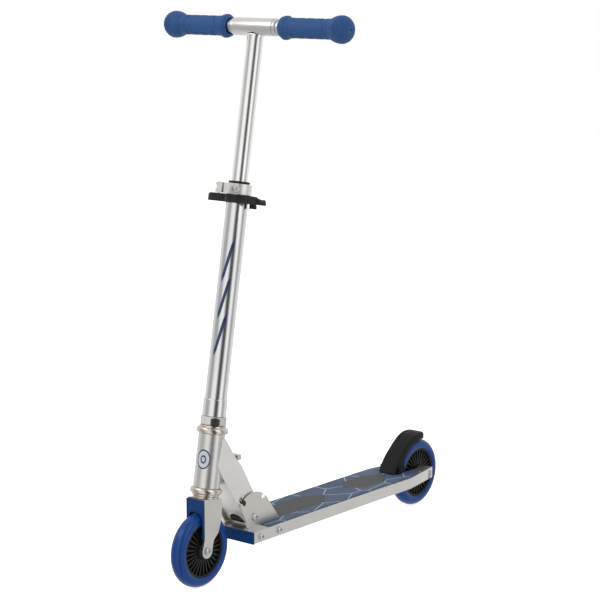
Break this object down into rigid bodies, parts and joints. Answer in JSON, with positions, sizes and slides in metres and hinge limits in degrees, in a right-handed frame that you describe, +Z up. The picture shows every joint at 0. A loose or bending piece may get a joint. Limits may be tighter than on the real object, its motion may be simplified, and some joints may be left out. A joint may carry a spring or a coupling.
{
  "type": "kick scooter",
  "caption": "Folding kick scooter: leaning telescopic stem with pull-out handles, spoked wheels, slim deck with griptape and a rear foot brake.",
  "frame": {"origin": "on the ground, midway between the two wheels and on the mirror plane", "axes": "+Z up, -Y the riding direction, +X the rider's left"},
  "size_m": [0.356, 0.7, 0.887],
  "materials": {
    "polished_aluminium": "polished, with fine lengthwise drawing lines",
    "satin_aluminium": "satin, as extruded",
    "satin_steel": "satin plated pressed steel",
    "nickel": "warm bright nickel plate",
    "zinc_steel": "zinc plated",
    "blue_tyre": "semi-gloss cast polyurethane",
    "blue_rubber": "matt soft rubber",
    "blue_plastic": "fine moulded texture",
    "black_core": "satin moulded nylon",
    "black_plastic": "semi-gloss moulded plastic",
    "printed_griptape": "gritty printed sheet"
  },
  "bodies": {
    "deck": {"deck": "satin_aluminium", "deck_front_cap": "blue_plastic", "left_arm_cap": "black_plastic", "right_arm_cap": "black_plastic", "griptape": "printed_griptape", "bracket_bolt_front": "zinc_steel", "bracket_bolt_rear": "zinc_steel", "rear_axle": "zinc_steel", "rear_axle_nut": "zinc_steel", "bracket_plate_left": "satin_steel", "bracket_plate_right": "satin_steel", "pivot_bolt": "zinc_steel", "pivot_nut": "zinc_steel", "fender_pin": "zinc_steel", "fender_bracket": "satin_steel", "fender_spring": "zinc_steel"},
    "neck": {"neck": "satin_steel", "pivot_sleeve": "zinc_steel", "release_spring": "zinc_steel", "upper_cup": "nickel", "lower_cup": "nickel", "upper_ball_ring": "zinc_steel", "lower_ball_ring": "zinc_steel"},
    "fold_release": {"lock_pin": "zinc_steel", "pin_carrier": "zinc_steel", "release_knob": "zinc_steel"},
    "steering": {"fork": "satin_steel", "fork_cover": "blue_plastic", "crown_race": "nickel", "headset_lock_nut": "satin_aluminium", "front_axle": "zinc_steel", "front_axle_nut": "zinc_steel", "lower_stem_tube": "polished_aluminium", "stem_collar": "polished_aluminium", "clamp_collar": "polished_aluminium", "clamp_skewer": "zinc_steel", "clamp_nut": "zinc_steel", "stem_bushing": "black_plastic", "grip_clip": "black_plastic"},
    "clamp_lever": {"quick_release_lever": "polished_aluminium"},
    "front_wheel": {"front_tyre": "blue_tyre", "front_wheel_core": "black_core", "front_bearing_left": "zinc_steel", "front_bearing_right": "zinc_steel", "front_bearing_spacer": "zinc_steel"},
    "rear_wheel": {"rear_tyre": "blue_tyre", "rear_wheel_core": "black_core", "rear_bearing_left": "zinc_steel", "rear_bearing_right": "zinc_steel", "rear_bearing_spacer": "zinc_steel"},
    "brake": {"brake_fender": "black_plastic"},
    "upper_stem": {"upper_stem_tube": "polished_aluminium", "upper_stem_bush": "black_plastic"},
    "height_lock": {"height_button": "zinc_steel"},
    "left_handle": {"left_handle_tube": "polished_aluminium", "left_grip": "blue_rubber"},
    "right_handle": {"right_handle_tube": "polished_aluminium", "right_grip": "blue_rubber"},
    "left_snap": {"left_snap_button": "zinc_steel"},
    "right_snap": {"right_snap_button": "zinc_steel"}
  },
  "joints": [
    {"name": "fold", "type": "hinge", "parent": "deck", "child": "neck", "pos_m": [0, -0.1865, 0.0931], "axis": [-1, 0, 0], "range_deg": [0, 80]},
    {"name": "fold_release_slide", "type": "slide", "parent": "neck", "child": "fold_release", "axis": [0, -0.5721, 0.8202], "range_m": [0, 0.0085], "stiffness_N_per_m": 400, "springref_m": -0.01},
    {"name": "steer", "type": "hinge", "parent": "neck", "child": "steering", "pos_m": [0, -0.29, 0.06], "axis": [0, 0.1764, 0.9843], "range_deg": [-180, 180]},
    {"name": "front_wheel_spin", "type": "hinge", "parent": "steering", "child": "front_wheel", "pos_m": [0, -0.29, 0.06], "axis": [1, 0, 0], "continuous": true},
    {"name": "rear_wheel_spin", "type": "hinge", "parent": "deck", "child": "rear_wheel", "pos_m": [0, 0.29, 0.06], "axis": [1, 0, 0], "continuous": true},
    {"name": "brake_press", "type": "hinge", "parent": "deck", "child": "brake", "pos_m": [0, 0.222, 0.0805], "axis": [-1, 0, 0], "range_deg": [0, 2.1], "stiffness_Nm_per_rad": 1.5, "springref_deg": -5.73},
    {"name": "stem_height", "type": "slide", "parent": "steering", "child": "upper_stem", "axis": [0, 0.1764, 0.9843], "range_m": [-0.2, 0]},
    {"name": "clamp_lever_swing", "type": "hinge", "parent": "steering", "child": "clamp_lever", "pos_m": [-0.019, -0.21468, 0.62203], "axis": [0, 0.1764, 0.9843], "range_deg": [0, 120]},
    {"name": "height_button_press", "type": "slide", "parent": "upper_stem", "child": "height_lock", "axis": [0, -0.9843, 0.1764], "range_m": [0, 0.002], "stiffness_N_per_m": 500, "springref_m": -0.002},
    {"name": "left_handle_pull", "type": "slide", "parent": "upper_stem", "child": "left_handle", "axis": [1, 0, 0], "range_m": [0, 0.045]},
    {"name": "right_handle_pull", "type": "slide", "parent": "upper_stem", "child": "right_handle", "axis": [-1, 0, 0], "range_m": [0, 0.045]},
    {"name": "left_snap_press", "type": "slide", "parent": "left_handle", "child": "left_snap", "axis": [0, -0.9843, 0.1764], "range_m": [0, 0.002], "stiffness_N_per_m": 500, "springref_m": -0.002},
    {"name": "right_snap_press", "type": "slide", "parent": "right_handle", "child": "right_snap", "axis": [0, -0.9843, 0.1764], "range_m": [0, 0.002], "stiffness_N_per_m": 500, "springref_m": -0.002}
  ]
}
